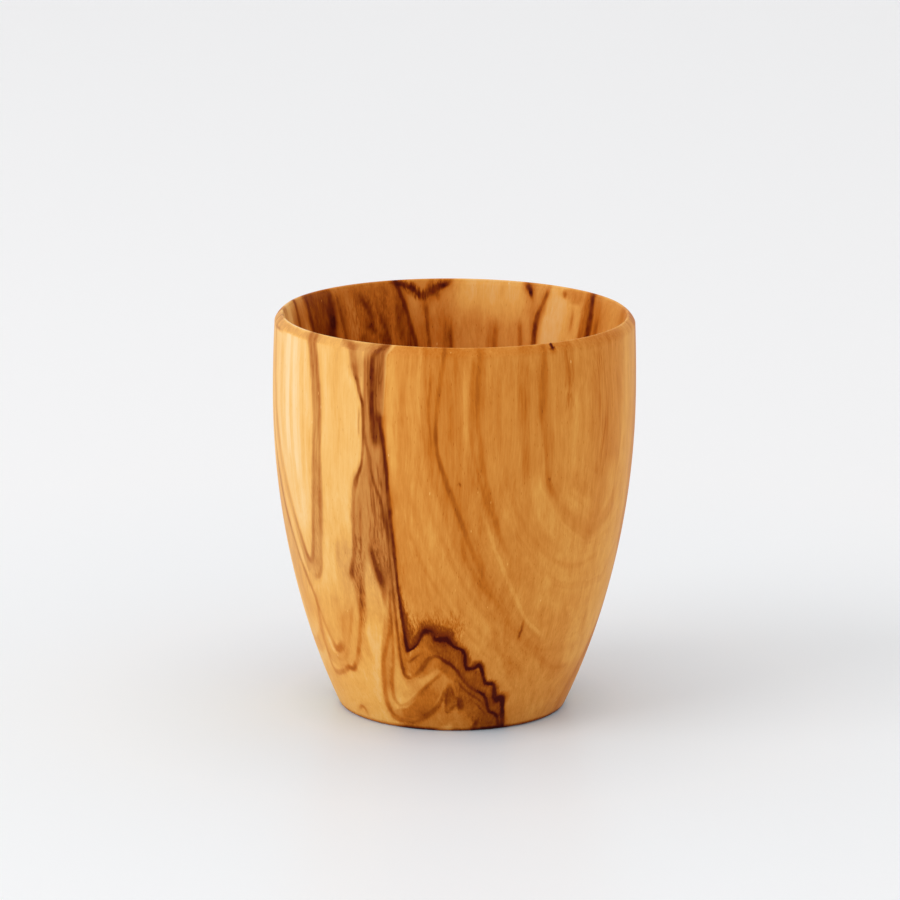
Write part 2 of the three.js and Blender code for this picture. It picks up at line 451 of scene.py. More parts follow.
wash(LEFT, .54, .7, (-22.4, 25, .3), (-22.4, 20, .5), (-22, 17, .9), (-21.6, 12.6, 1), (-21.4, 8, 1))
wash(LEFT, .7, .6, (-20.8, 36), (-20.2, 27), (-20, 23, .6, .8), (-19.6, 18, .7, .4), (-19, 14.6, .8, .5),
     (-18.4, 12, .9))
draw("vein", .85, .26, (-34, 104, .1), (-37, 90, .15), (-40, 76, .15), (-42, 66, .2), (-41, 62, .2),
     (-38, 60, .25, .4), (-35.4, 59.6, .4, .4), (-33.5, 58.8, .6, .6), (-32.7, 57.4, .66, .75),
     (-32.2, 56.2, .6, .85), (-31.2, 54.4, .36, .85), (-30.5, 53, .3, .9), (-29.5, 51.6, .26),
     (-29.2, 50.4, .24, .75), (-29, 47.4, .24, .7), (-29.2, 44, .24, .75), (-30, 41.6, .28, .85),
     (-31.8, 39.6, .4, .8), (-32.9, 37.4, .36, .6), (-33.5, 35, .36, .55), (-33.8, 33, .36, .5),
     (-34, 31, .34, .45), (-34.2, 29, .34, .45), (-35, 27.4, .36, .4), (-36.6, 24.8, .5, .7),
     (-37.6, 23.2, .4, .5), ring=-1)
draw("vein", .85, .36, (-13, 96, .15), (-15, 80, .2), (-16, 68, .2), (-17, 63, .3, .6),
     (-21.4, 60.2, .4, .5), (-23.4, 59.4, .36, .6), (-25.4, 58.6, .4, .9), (-26, 57.6, .4),
     (-26.1, 54, .44), (-26.1, 51, .44), (-25.8, 49, .5), (-25.3, 47.4, .56), (-25, 46, .56, 1.1),
     (-24.8, 44.4, .4, 1.1))
draw("vein", .5, .18, (-28.6, 58.8, .16, .6), (-28.5, 55, .16, .6), (-28.4, 52, .16, .6),
     (-28.5, 48, .18, .6), (-28, 45.2, .22), (-27, 43.6, .26), (-26.6, 42, .26), (-25.9, 40.2, .3, 1.1),
     (-24.9, 38.8, .28), (-23.9, 37.6, .26, 1.2), (-23.1, 36, .34, 1.4), (-22.4, 34.2, .4, 1.5),
     (-21.7, 32.8, .34, 1.2), (-21, 30.6))
draw("vein", .4, .14, (-27.6, 58.8), (-27.5, 55), (-27.3, 51))
draw("vein", .3, .14, (-30.5, 51), (-30.6, 48), (-30.5, 45.5))
draw("vein", .3, .2, (-27, 40.6, .14, .5), (-26.6, 39.4), (-25.8, 37), (-25.2, 34.6), (-24.8, 32))
draw("vein", .85, .36, (-28.4, 30.4, .2, .5), (-27.4, 28.6, .34, .7), (-26.5, 26.9, .36, .8),
     (-25.5, 25.4, .5), (-24.8, 24, .4), (-24.4, 22.8, .2, .6))
draw("vein", .35, .24, (-33, 24.5), (-33.4, 21, .28), (-34.4, 18.2, .15))
draw("vein", .4, .16, (-24.6, 43), (-23.4, 40), (-22.4, 38))
draw("vein", .3, .16, (-30.6, 36), (-31.2, 33), (-31.4, 30), (-32, 27))
draw("stain", .5, 1.2, (-23.6, 60), (-24.4, 55), (-24.6, 50), (-25, 45))
draw("stain", .5, 1.6, (-24.6, 42, .8), (-24.8, 38, 1.4), (-24.8, 33, 1.8), (-24.2, 29, 1.5),
     (-23.2, 24.6, 1))
draw("stain", .45, 1.2, (-31.6, 32), (-33, 28), (-34.2, 24.4), (-33.6, 20, .8), (-34.4, 16, .5))

# Front: the long dark line down from the streak, and the zigzag that it turns into, darkest of all.
# Above the zigzag the wood is stained brown along its fibres.
long_line = [(-24.3, 50.6, .26, .6), (-23.6, 49.4, .5, .8), (-22.7, 47.4, .34, .8),
             (-21.7, 44.4, .32, .82), (-21.1, 41, .32, .82), (-20.8, 38, .32, .84), (-20.3, 35, .32, .84),
             (-19.8, 32, .28, .8), (-19.3, 28, .23, .76), (-19, 24, .22, .76), (-18.6, 20.5, .22, .78),
             (-18.1, 17.2, .23, .84), (-17.7, 14.9, .28, .92)]
zigzag = [(-17.2, 13.5, .32), (-15.2, 13.85, .2), (-13.2, 14.6, .18), (-11.8, 15.6, .2), (-11, 16.4, .34),
          (-9.8, 16.8, .54, 1.1), (-8.2, 16.75, .5, 1.1), (-6.9, 16.3, .36), (-6.3, 15.6, .34),
          (-4.8, 15.6, .5, 1.1), (-2.2, 15.65, .52, 1.1), (-.5, 14.9, .3), (.6, 14.5, .26),
          (3.8, 13.9, .28), (4.7, 13.2, .26), (5.1, 11.4, .26), (5.9, 10.8, .28), (7.6, 10.75, .28, 1.1),
          (9.2, 10.95, .26), (10.4, 11.3, .32, 1.1), (11.3, 11.05, .32), (12.6, 9.6, .24),
          (13.8, 8.2, .26, 1.1), (16.6, 8.05, .28, 1.1), (17.6, 7.8, .3), (18.3, 6.8, .3),
          (18.8, 5.7, .42, 1.2), (20, 5.3, .64, 1.25), (22.4, 5.3, .6, 1.25), (23.2, 4.4, .36, 1.1),
          (24.6, 2.2, .36, 1.1), (26.2, -.2, .4, 1.1), (27, -2, .3), (27.5, -5, .2)]
draw("vein", 1, .25, *long_line, *zigzag, sharp=True, ring=0)
draw("shade", .95, 1.4, (-17.4, 15.5, .8), (-16.8, 14, 1.4), (-15, 14.1, 1.4), (-13, 14.8, 1.2),
     (-11.8, 16, 1), (-9.6, 17, 1.5), (-7.2, 16.8, 1.8), (-5, 16, 1.7), (-2, 16, 1.8), (0, 15, 1.1),
     (4, 14, .7), sharp=True)
draw("shade", .6, 3, (-17.2, 15, 1.8), (-16.4, 14, 3.8), (-14, 14.6, 3.2), (-11.8, 16.2, 2),
     (-9.6, 17, 2.8), (-7.2, 16.8, 3.4), (-5, 16, 4.2), (-2, 16, 4.4), (0, 15, 2.4), (4, 14, 1.2),
     sharp=True)
draw("shade", .9, 1.4, (-19.4, 27, .3), (-19, 23, .7), (-18.6, 20.5, 1.2), (-18.1, 17.2, 2.2),
     (-17.6, 14.4, 2.4))
draw("shade", .85, .9, (2, 14.4), (4.1, 13.9, 1), (4.9, 12.6, 1), (5.7, 10.9, 1), (7.6, 10.8, 1),
     (10.4, 11.4, .8), (11.3, 11.2, .7), (12.6, 9.7, .5), (13.8, 8.4, .7), (17.4, 8, .8), (18.6, 6.2, .8),
     (20.8, 5.6, .8), (22.4, 5.5, .6), (24, 3.6, .4))
wash(RIGHT, .78, .7, (-18.2, 22, .3), (-17.6, 18.4, .6), (-17.2, 16, .8), (-16.2, 14.8, .8),
     (-13.6, 15.2, .6), (-11.4, 17, .4))
wash(RIGHT, .72, .8, (-13, 17.4, .5), (-9.6, 17.8), (-6, 17.2), (-2.6, 17, .7), (0, 16, .5),
     (3, 14.8, .3))
wash(RIGHT, .76, .55, (4.4, 14.6, .3), (6, 12.4, .5), (7.4, 11.5), (9.4, 11.7, .5), (12, 11.4, .3),
     (13.6, 9.6, .3))
wash(RIGHT, .72, .4, (15.6, 8.8, .3), (18.6, 7.6), (20, 6.4), (22.4, 6, .3), (24.6, 4, .3))

# Front, below the zigzag: brown layers in waves, with two dark flames in them, and the hook that
# hangs beside them
wash(LEFT, .64, 4, (-9, 7, 2.4), (-3, 8.6, 3.4), (1, 8, 4.2), (6, 6, 4.4), (12, 4, 4), (18, 1.5, 3),
     (24, -4, 3))
wash(LEFT, .64, 1.8, (-32, -.6, 1), (-20, .2, 1), (-12, 1.2, 1.6), (-6, 2.6, 2), (0, 3, 2), (5, 2, 2),
     (10, -2, 2))
wash(LEFT, .68, 1.4, (-20.2, 19, .5), (-19.4, 13.6, .9), (-17.6, 11, 1.4), (-14.4, 11.8, 1.4),
     (-11, 13.4, 1.5), (-8, 14.6, 1.8), (-4, 13.6, 1.8), (1, 12.2, 1.4), (5, 9, 1))
wash(LEFT, .56, 1.3, (-26, 13, .8), (-22, 7.4, 1.5), (-18, 7.4, 1.3), (-14, 8, 1.1), (-8, 9.4, .9))
wash(LEFT, .46, 1.3, (-22.4, 13, .6), (-23, 8.8, 1.1), (-23, 6.2, 1.6), (-22.4, 3.4, 1))
wash(LEFT, .65, 1, (-17, 8.8, .5), (-13, 9.9, .9), (-9.6, 11, 1.1), (-6, 11.8, 1), (-1, 11.6, .8))
wash(LEFT, .76, .9, (-7, 12), (-3.4, 11.2), (-.6, 10.2), (3, 8.6))
wash(LEFT, .56, .7, (-23, 21, .4), (-25.2, 15, .8), (-27.2, 10.5, .9), (-28.4, 7, 1), (-28.6, 3, 1))
wash(LEFT, .72, 1, (-29, 4.6, .7), (-27.6, 2.8, .8), (-24.5, 2.6, .9), (-20, 2.8, 1), (-16, 3.6, 1.3),
     (-12, 5, 1.5), (-8.4, 6.8, 1.4), (-5, 8.6, 1), (-3, 10, .6))
wash(LEFT, .77, 1.6, (.6, 11, .8), (4, 8, 1.2), (7, 6, 1.8), (10.5, 4.6, 1.9), (14, 2.8, 1.7, 1.2),
     (17.5, 1.2, 1.4, 1.4), (21, -2.4, 1.4, 1.4))
wash(LEFT, .8, 1.1, (-14, 15, .4), (-10, 15.8, .9), (-6, 14.6, 1.2), (-2, 13.8, 1.5), (2, 12.4, 1.5),
     (5, 10.4, 1.2), (9, 9.3, 1.3), (13, 7.6, 1.2), (16.5, 5.8, 1.2), (20, 4, 1), (23, 2.6, 1),
     (26, -2, .9))
wash(LEFT, .58, .5, (-2, 9.6, .3), (-3, 7.6, .4), (-3.8, 6, .4), (-3.8, 3, .4))
wash(LEFT, .78, .8, (-1, 8.8, .3), (-.9, 6.8, .6), (-.6, 5.2, .9), (.6, 4.5, .8), (3.4, 4.3, .5))
wash(LEFT, .83, .9, (13, 2.4), (17, 1.8), (20.6, .9), (23, -2))
wash(LEFT, .88, .5, (2.6, 6.4, .4), (3.8, 4.8), (4, 3, .4))
draw("vein", .95, .26, (24.8, -3), (24.2, -.2), (22.6, 1.6), (20.8, 2.7), (18.6, 3.05), (17, 3.5),
     (15.8, 4.6), (14.9, 5.6), (12.8, 6.6), (10.2, 7, .24, .9), (8.4, 7.5, .26, .6), (6.4, 8.1, .26, .5),
     (4, 9.2, .24, .5), (2.4, 10.2, .24, .6), (.8, 11, .26, .8), (-.8, 11.6, .3, .8), (-2.6, 12, .34, .8),
     (-4.2, 12.5, .28, .7), (-6, 12.8, .28, .5), (-8, 12.6, .34, .5), (-10.2, 11.8, .4, .6),
     (-12.4, 10.5, .4, .6), (-14.6, 9.6, .36, .6), (-17.4, 9, .36, .64), (-19, 9.1, .36, .7),
     (-20, 10, .3, .7), (-20.4, 12, .22, .55), (-20.5, 15, .18, .5), (-20.6, 20, .18, .5),
     (-21, 26, .16, .5), (-21.4, 32, .14, .4), (-22, 37, .1, .4))
draw("vein", .5, .42, (-21.8, 24, .16), (-22.9, 17.6, .3, .7), (-24.4, 15.4, .34, .7),
     (-26.2, 13.4, .36, .7), (-28.2, 11.2, .38, .7), (-29.4, 8.4, .4, .7), (-30.4, 5.6, .4, .8),
     (-30.4, 3.8, .48), (-29.4, 2.2, .5, 1.2), (-26.6, 1.5, .55, 1.3), (-21, 1.35, .5, 1.1),
     (-17.4, 1.6, .5), (-14, 2.2, .5, 1.1), (-10.4, 2.9, .5), (-7.6, 3.8, .44), (-5.4, 4.9, .36),
     (-3.8, 6.2, .3), (-2.4, 8, .2))
draw("vein", .36, .28, (-22.1, 19.5, .16), (-23, 14, .22), (-24.2, 10.8), (-25.5, 8.4), (-26.3, 6.6),
     (-26, 4.9), (-23.9, 3.9), (-20.4, 4.4), (-17.2, 5.4), (-12.6, 7), (-8.2, 8.6), (-5.4, 9.6),
     (-3, 10.6))
draw("vein", .5, .18, (-18.6, 12.4), (-17.4, 11.6), (-15.4, 12.1), (-13, 12.9), (-11.4, 13.6))
draw("vein", .45, .18, (15, 4), (12, 5.4), (8, 6.4), (4, 7.8), (1.4, 9.4))
draw("vein", .4, .16, (18, 1.8), (13, 4), (9, 5.2))
draw("vein", .5, .22, (-.9, 8.4, .15), (-1.9, 6.8), (-2.6, 5.4), (-2.7, 4.2), (-2.1, 3.4), (-.6, 3.8),
     (1, 4.4), (2.6, 4.6), (3.8, 4.1, .34), (4.6, 3.4, .2))
draw("vein", .45, .2, (-.6, 8.2, .12), (.4, 6.7), (1.4, 5.9), (2.8, 5.7), (3.8, 5.2, .28), (4.2, 4.4))
draw("vein", .75, .3, (12.8, 2.4, .12), (11.8, 1.5), (11.4, .6, .5), (11, -1))
draw("stain", .35, 2, (0, 11, .8), (5, 8, 1.6), (10, 5.6, 2), (15, 3, 1.6), (20, 1, 1))

# Front right: broad amber rings, each a soft line with a darker side, a deep ring like a U at the
# far right, and a few small dark knots
wash(RIGHT, .47, 1.1, (-18.2, 64), (-18.9, 54), (-18.8, 48), (-18.2, 38))
wash(RIGHT, .54, 2.2, (-13.4, 64), (-13.4, 50), (-13.2, 44), (-12.4, 38), (-9.6, 32), (-5, 26.5), (2, 21),
     (10, 16.6), (18, 12.6), (30, 8))
wash(RIGHT, .63, 1.2, (-7.2, 63), (-7.6, 52), (-7.2, 45), (-5, 39, .9))
wash(RIGHT, .635, 2, (0, 63), (0, 53), (0, 47), (1.6, 43), (5, 38.5), (11, 31))
wash(RIGHT, .63, .9, (-7.6, 48, .6), (-5.6, 42, .8), (-2.6, 37.4), (-.4, 33.4), (2.6, 29.4), (6.6, 25.4))
wash(RIGHT, .62, 1.2, (13, 20.4), (17.4, 16.8), (20.6, 13.6), (25, 10.4), (31, 6))
wash(RIGHT, .625, 1.6, (-2, 41, .7), (2.4, 34.6, 1.1), (6.4, 29.4, 1.6), (11, 25, 1.8), (16, 21.6, 1.8),
     (22, 18, 1.7), (29, 14.6, 1.7), (38, 11, 1.4))
wash(RIGHT, .54, .5, (4, 60), (3.8, 52), (4.2, 44))
wash(RIGHT, .65, .9, (8, 61), (7.4, 54), (7.6, 48))
wash(RIGHT, .59, 1.6, (14, 64), (14, 52), (15, 45), (19, 35))
wash(RIGHT, .66, 1, (22, 63, .8), (21.8, 54), (22, 48), (22.6, 44, .8), (23.8, 38, .6))
wash(RIGHT, .61, 1, (25.4, 61), (25.8, 48), (27, 39))
wash(RIGHT, .66, .8, (28.4, 59), (28, 54), (28, 47))
wash(RIGHT, .63, .8, (30, 51), (30.8, 46), (31.4, 41), (34, 38), (39, 36))
wash(RIGHT, .55, 3, (40, 55), (41, 46), (42, 38))
wash(RIGHT, .61, 2.6, (52, 64), (53, 52), (54, 46), (53, 36))
wash(RIGHT, .5, 3.4, (60, 42, 1.6), (62, 35, 2.4), (59, 27), (57, 20), (58, 12, 3), (66, 6, 3))
wash(RIGHT, .51, 1.5, (24, 42, .8), (31, 34.4), (38, 31), (46, 28.2), (54, 27), (62, 29), (68, 34))
wash(RIGHT, .585, .9, (32, 38.6, .8, .6), (38, 36, .8, .6), (43, 34, 1, .7), (48, 32.6, 1.2),
     (53, 32, 1.3, .9), (58, 32.4, 1.2, .7), (64, 35, 1, .5), (70, 39, .8, .5))
wash(RIGHT, .63, .8, (37.6, 61), (38.4, 52))
# The far right edge is painted paler: partly paler wood and partly a painted sheen of the bright room at
# the grazing edge
wash(RIGHT, .47, 3.2, (76, 66), (72, 52), (71, 44), (71, 36, 3), (69, 27, 3.4), (71, 20, 4), (76, 12, 4),
     (84, 4, 3))
wash(RIGHT, .53, 3.4, (26, 26), (44, 22), (60, 21))
wash(RIGHT, .52, 1.2, (34, 30), (43, 26.8), (52, 25.4))
wash(RIGHT, .58, 2.4, (30, 9), (46, 6.5), (66, 7))
draw("vein", .08, .34, (-14, 61), (-16.4, 50), (-16.8, 43.6), (-15.4, 40), (-12.6, 36), (-9, 31),
     (-4, 25.6), (3, 20.4), (12, 16), (22, 12), (32, 9), ring=.8)
draw("vein", .1, .34, (-11, 46), (-10, 40.6), (-7, 35.6), (-3, 30.8), (2, 26), (8, 21.6), (15, 17.8))
draw("vein", .12, .26, (-15.4, 34), (-13, 31), (-9, 26.6), (-4, 22.6), (3, 18), (10, 14.6))
draw("vein", .34, .34, (-1, 100), (-1.5, 80), (-2, 66), (-3, 60.4), (-3.8, 57), (-4.5, 54.4),
     (-5.1, 51.6), (-5.5, 48.6, .3, 1.4), (-5.5, 46.4, .3, 1.5), (-5.1, 44.8, .32, 1.5),
     (-4.4, 43.4, .34, 1.4), (-2.4, 40.4, .4, 1.3), (-.2, 37.7, .4, 1.2), (2, 34.8, .4, 1.1),
     (4.4, 31.8, .4, .9), (6.8, 29, .4, .7), (10.4, 25.4, .4, .5), (16, 21, .4, .4), (25, 16, .4, .3),
     (44, 9.6, .4, .4), (58, 9, .3, .4), ring=2)
draw("vein", .2, .34, (2.6, 32.4), (2.9, 30.6), (3.7, 29), (5.2, 27.6), (6.7, 26.4), (8.2, 25.2),
     (11, 23.4), (15, 21.4))
draw("vein", .22, .16, (-7, 56), (-7.5, 54), (-7.8, 52), (-7.7, 50), (-7.2, 47), (-6.8, 44))
draw("vein", .3, .36, (10, 100), (9, 80), (8, 66), (7.7, 60.4), (7.3, 56), (7.1, 52), (7.2, 49.6),
     (7.6, 47), (8.3, 44.4, .36, .7), (9.2, 42, .4, .7), (10.2, 40, .4, .8), (11.4, 37.8, .4, .9),
     (12.6, 35.6, .4), (14, 33.4, .4, .8), (15.8, 31, .4, .6), (19, 28, .4, .4), ring=3)
draw("vein", .2, .3, (6, 59.4), (5.2, 55), (4.8, 51), (5, 48), (5.8, 45), (7, 42.4), (8.4, 40),
     (10, 37.6), (12, 34.6))
draw("stain", -.06, .34, (9, 36), (12, 32), (15.4, 28), (19.4, 24.4), (24, 20.6), (28, 18), (36, 15),
     ring=3.4)
draw("vein", .1, .4, (14.4, 60), (13.6, 52), (14.4, 45), (17, 39.6), (21, 35), (27, 30.8), (35, 27.4),
     (46, 25.6), (58, 26.6), ring=4)
draw("vein", .26, .4, (28, 100), (28.6, 80), (29, 64), (28.8, 58), (27.8, 54, .6), (27.8, 50, .6),
     (28.8, 47, .4, .8), (29.4, 43.4, .3), (30.2, 40, .3), (32.4, 38, .5, .8), (36, 35.6, .4, .3),
     (40, 34, .4, .3), (45, 32, .4, .3), (50, 30.6, .4, .4), (55, 30.4, .4, .3), (60, 31.8, .4, .2),
     (66, 35.2, .4, .2), (70, 39, .4, .2), (73, 46, .4, .2), (75, 55, .4, .2), (77, 62), (77, 76), ring=5)
draw("stain", .3, 1, (36.6, 60), (37.8, 55), (38.4, 48.6))
draw("vein", .12, .24, (37.4, 58), (37.7, 54.6), (38, 52.4), (38.4, 50))
draw("stain", .25, 1.4, (51, 58), (53, 52), (54, 46), (53, 38))
draw("vein", .6, .22, (26.6, 18.8, .16, .6), (26.1, 17, .22, .8), (25.7, 16), (25, 14.8))
wash(RIGHT, .52, 1.4, (35, 38.6), (43, 35.6), (51, 33.8))
wash(RIGHT, .66, 1.1, (-8.4, 49, .6), (-6, 42.6), (-4, 39.4), (-2, 36, .8))
draw("vein", 1, .48, (31.2, 59.8), (32, 59.65), (32.8, 59.7))
for knot in (2, 31):
    draw("vein", .6, .14, (knot - .2, 40.2), (knot, 39.9), (knot + .2, 39.6))

# Inside the mouth, at the back: dark heartwood on the left, a dark V at the lip, and single lines that
# thin out down the hollow
wash(BOTH, .44, 3, (134, 58), (134.4, 66), (135, 80))
wash(BOTH, .62, .9, (128, 60.6), (133.4, 61.2), (138, 60.4))
wash(BOTH, .52, 4, (112, 57), (111, 66), (110, 78))
wash(BOTH, .6, 3, (122, 57), (122, 66), (121, 74), (119, 86, 2.2), (116, 104, .5))
wash(BOTH, .74, .6, (119.4, 60), (119, 66), (118, 76))
wash(BOTH, .66, .9, (126.6, 56), (126.4, 61), (126, 66))
wash(BOTH, .74, .6, (128.4, 62), (128, 66), (127, 76))
wash(BOTH, .56, .7, (149, 57), (149.4, 61), (150, 64))
wash(BOTH, .34, 2, (142, 57), (142.6, 64), (143.4, 68), (144, 80))
# At 167 degrees the hollow is painted pale just under the lip and darker further down: partly the wood, and
# partly a painted sheen at the top and painted shade deeper in
wash(BOTH, .57, 5.4, (167, 65), (168, 78), (168, 90, 4), (168, 108, 1))
wash(BOTH, .38, 5.4, (167, 54), (167, 60), (167, 67))
wash(BOTH, .68, .8, (166, 65), (166.4, 70), (167, 80))
wash(BOTH, .68, 2.8, (188, 63), (187, 72), (186, 84, 2), (184, 102, .5))
wash(BOTH, .76, .8, (182.4, 65), (182.4, 72), (182, 80))
wash(BOTH, .58, .6, (145.2, 59), (147, 63), (148.6, 67))
wash(BOTH, .82, .8, (243, 54, .4), (242.6, 58.6), (242.4, 61), (241.8, 64.4), (240.6, 68))
wash(BOTH, .68, .4, (245, 58), (244.6, 62.6), (243, 66.4))
wash(BOTH, .66, 2.4, (252, 59), (250, 66), (247, 74), (246, 84, 1.8), (243, 102, .5))
wash(BOTH, .72, 6, (214, 57), (212, 66), (210, 74), (207, 84, 4, .9), (202, 97, 1.6, .7),
     (198, 108, .5, .4))
wash(BOTH, .62, .9, (221, 60), (219.6, 64), (218.6, 70))
wash(BOTH, .86, 1, (201.4, 60.6, .5), (200.6, 62.6, .7), (199.4, 66.4), (197.6, 69.4), (196, 76),
     (193, 92, .5, .6))
wash(BOTH, .76, .8, (206, 62), (204.4, 66), (203.4, 68.6))
wash(BOTH, .84, 2.7, (236, 53, 1), (236, 57, 2.4), (235.6, 61), (235, 65), (234, 71), (231, 84, 2, .9),
     (226, 98, 1, .7), (222, 108, .4, .4))
wash(BOTH, .7, 1, (186.4, 59.4), (188.4, 61.6), (190, 64.4))
wash(BOTH, .86, .5, (215.4, 61.4), (213, 63.4), (211.2, 64.6), (210.4, 66.2))
wash(BOTH, .88, .45, (215, 65.8), (211.6, 66.8), (208.4, 67.6))
wash(BOTH, .9, .6, (208.6, 67.4), (206.8, 68.6), (205, 70.6))
wash(BOTH, .85, .34, (209.4, 64), (207, 65.6), (205.6, 66.8), (204.8, 68.6))
wash(BOTH, .87, .5, (217, 67.4), (215.4, 68.6), (213, 70))
wash(BOTH, .7, .8, (126.4, 58), (125, 62), (124.6, 66), (123.4, 74), (121, 84))
draw("vein", .9, .62, (125.8, 59, .5, .6), (124.4, 61, .55, .9), (123.8, 63.4), (123.6, 67), (122.6, 73),
     (120, 84, .44, .8), (117, 97, .3, .5), (114, 108, .2, .2), ring=3)
draw("vein", .6, .4, (139, 60.2), (138.4, 61), (138, 61.8, .2))
draw("vein", .35, .3, (133.4, 62.6), (133.6, 65), (133.8, 67))
draw("vein", .85, .46, (145.2, 60, .36, .7), (146.4, 62, .36, .7), (148, 63.6, .36, .7), (149.2, 65.4),
     (149.5, 68), (149.4, 72), (150.4, 80, .36, .8), (152, 92, .26, .5), (154, 104, .2, .2), ring=2.5)
draw("vein", .95, .46, (156, 59.6), (154.2, 60.3), (153, 61), (152.2, 61.8, .3), (151.4, 62.8, .2, .4))
draw("vein", .45, .36, (156, 65.4), (155.6, 67.4), (155, 69.2), (154.6, 74, .34, .8), (155, 84, .2, .3))
draw("vein", .3, .5, (164.4, 66), (164.8, 69), (165, 74, .44, .8), (166, 86, .2, .3))
draw("vein", .95, .44, (180.4, 59.9, .3), (182.6, 60.7), (184.8, 61), (186.4, 61.3, .6), (188, 61.8, .6),
     (189.6, 62.3), (191.6, 62.4, .5))
draw("vein", .9, .42, (204, 59.9, .3), (201, 60.4), (198.6, 60.6), (196.8, 60.9), (195, 61.4),
     (193.4, 62), (191.4, 62.6, .6), (189, 62.9, .4))
draw("vein", .5, .34, (186.4, 61.6), (186.1, 62.6), (186, 63.6, .2))
draw("stain", .85, 1, (182, 60.4, .5), (186.6, 61.2), (190, 62.4), (193.6, 62), (197, 60.8),
     (202, 60.2, .5))
draw("vein", .5, .34, (190.8, 62.8), (190.5, 64, .44), (190.2, 65.6), (189.8, 68, .24), (189, 72))
draw("vein", .4, .3, (181.6, 66.5), (181.6, 69), (181, 74, .3, .8), (179.4, 88, .2, .3))
draw("vein", .7, .36, (-157.8, 59.4), (-159.4, 60.8), (-160.4, 62), (-162, 64), (-163.2, 66),
     (-164.4, 68), (-165.5, 70), (-167, 76), (-169, 86, .3, .7), (-172, 98, .24, .4), (-175, 108, .2, .1),
     ring=2)
draw("vein", .4, .4, (216.4, 61), (214, 63), (211.6, 65.2), (210.6, 68))
draw("vein", .45, .32, (209.6, 62), (208, 65), (205.6, 67.6), (204, 70.6))
draw("vein", .4, .3, (226, 60.4), (225, 63), (223.6, 67), (222, 72))
draw("stain", .34, 5, (214, 60.6), (212, 66), (210, 74), (208, 84))
draw("vein", 1, .95, (-129.8, 59.4, .5, .3), (-131, 60.8, .6, .6), (-131.2, 63), (-130.8, 65),
     (-129.6, 67), (-130.4, 75, .8, .9), (-133, 86, .5, .8), (-138, 98, .3, .5), (-142, 108, .2, .2),
     ring=0)
draw("vein", .6, .36, (242.6, 60.4), (241.8, 62), (241, 65), (239.6, 70), (237, 80, .3, .6),
     (233, 94, .2, .3))
draw("stain", .6, 2.4, (236, 61), (235, 66), (233, 76))

# Outside at the back: the same lines carried over the lip and down, as rings that close in long loops,
# with soft bands between them
wash(BOTH, .5, 2, (113, 63), (114, 44), (110, 28), (102, 12), (99, -3))
wash(BOTH, .65, 1.6, (134, 62), (134, 46), (132, 34), (127, 22), (122, 10), (120, -3))
wash(BOTH, .52, 1.4, (139.6, 62), (139.4, 44), (141, 30), (146, 18), (154, 10.4), (162, 10.6), (168, 16),
     (173, 28), (175, 44), (175, 60))
wash(BOTH, .66, 1.2, (156.6, 60), (157.4, 46), (158, 34))
wash(BOTH, .66, 1.6, (178, 60), (180, 44), (183, 30), (187, 18), (193, 8), (199, -3))
wash(BOTH, .5, 1.4, (196, 48), (196.6, 34), (199, 24), (204, 14), (212, 6), (222, 1), (232, -3))
wash(BOTH, .65, 1.4, (207, 60), (207, 44), (209, 32), (213, 23), (221, 15.4), (232, 13), (241, 16),
     (246, 24), (248.6, 36), (249, 50))
wash(BOTH, .5, 1.2, (217, 58), (216.4, 46), (218, 34), (223, 24), (231, 18.6), (239, 24), (242, 36),
     (243.4, 50))
wash(BOTH, .76, 1, (236.4, 63), (234.6, 52), (232.6, 42), (231, 34), (230.4, 26))
draw("vein", .5, .45, (123, 60.6), (125.5, 57.5), (126, 52), (125, 45), (122.5, 38), (119, 31),
     (115, 24.5), (111.5, 18), (109, 11), (107.5, 4), (107, -2), (106, -8), ring=3)
draw("shade", .5, 2.2, (107.5, 4), (109, 11), (111.5, 18), (115, 24.5), (119, 31), (122.5, 38), (125, 45),
     (126, 52), (125.5, 58))
draw("vein", .55, .45, (145.6, 60.6), (144.4, 57), (144, 50), (144.6, 42), (146.5, 34), (149.5, 27),
     (153.5, 21), (158, 17.5), (162, 19), (165.5, 25), (168, 33), (169.5, 42), (170, 51), (169.4, 57),
     ring=2.5)
draw("shade", .45, 2, (144, 50, 1), (144.6, 42, 1.4), (146.5, 34), (149.5, 27, 2.4), (153.5, 21, 2.8),
     (158, 17.5, 3), (162, 19, 2.8), (165.5, 25, 2.2), (168, 33, 1.8), (169.5, 42, 1.2))
draw("vein", .3, .4, (151.6, 59), (151, 52), (151.5, 45), (153, 38), (155.5, 31.5), (158.5, 28),
     (161.3, 31), (163, 38), (164, 46), ring=3.6)
draw("vein", .55, .45, (180.6, 60.2), (182.5, 57.5), (185, 53.5), (187.5, 48), (189, 42), (190, 36, .15))
draw("vein", .55, .45, (201, 60.2), (199, 57.5), (196, 53.5), (192.5, 49), (190.4, 44.5, .15))
wash(BOTH, .72, 1.6, (182.6, 58.6, .6), (187, 52), (190, 47), (193, 51), (199, 58, .6))
draw("vein", .6, .46, (-158.6, 60.8), (-160, 56), (-159, 50), (-158.5, 43), (-157.5, 36), (-155.5, 29),
     (-152, 22), (-147, 16.5), (-141, 12.5), (-134, 9.5), (-127, 8.5), (-121, 9.5), (-116, 12.5),
     (-112, 17), (-109, 23), (-107, 30), (-106, 38), (-106, 46), (-107, 54), (-109, 61), (-110, 70),
     (-112, 84), ring=1)
draw("shade", .5, 2.4, (-159, 52, 1.6), (-158.5, 43), (-157.5, 36), (-155.5, 29), (-152, 22),
     (-147, 16.5, 3), (-141, 12.5, 3.4), (-134, 9.5, 3.6), (-127, 8.5, 3.4), (-121, 9.5, 3), (-116, 12.5),
     (-112, 17, 1.6), (-109, 23, 1.2))
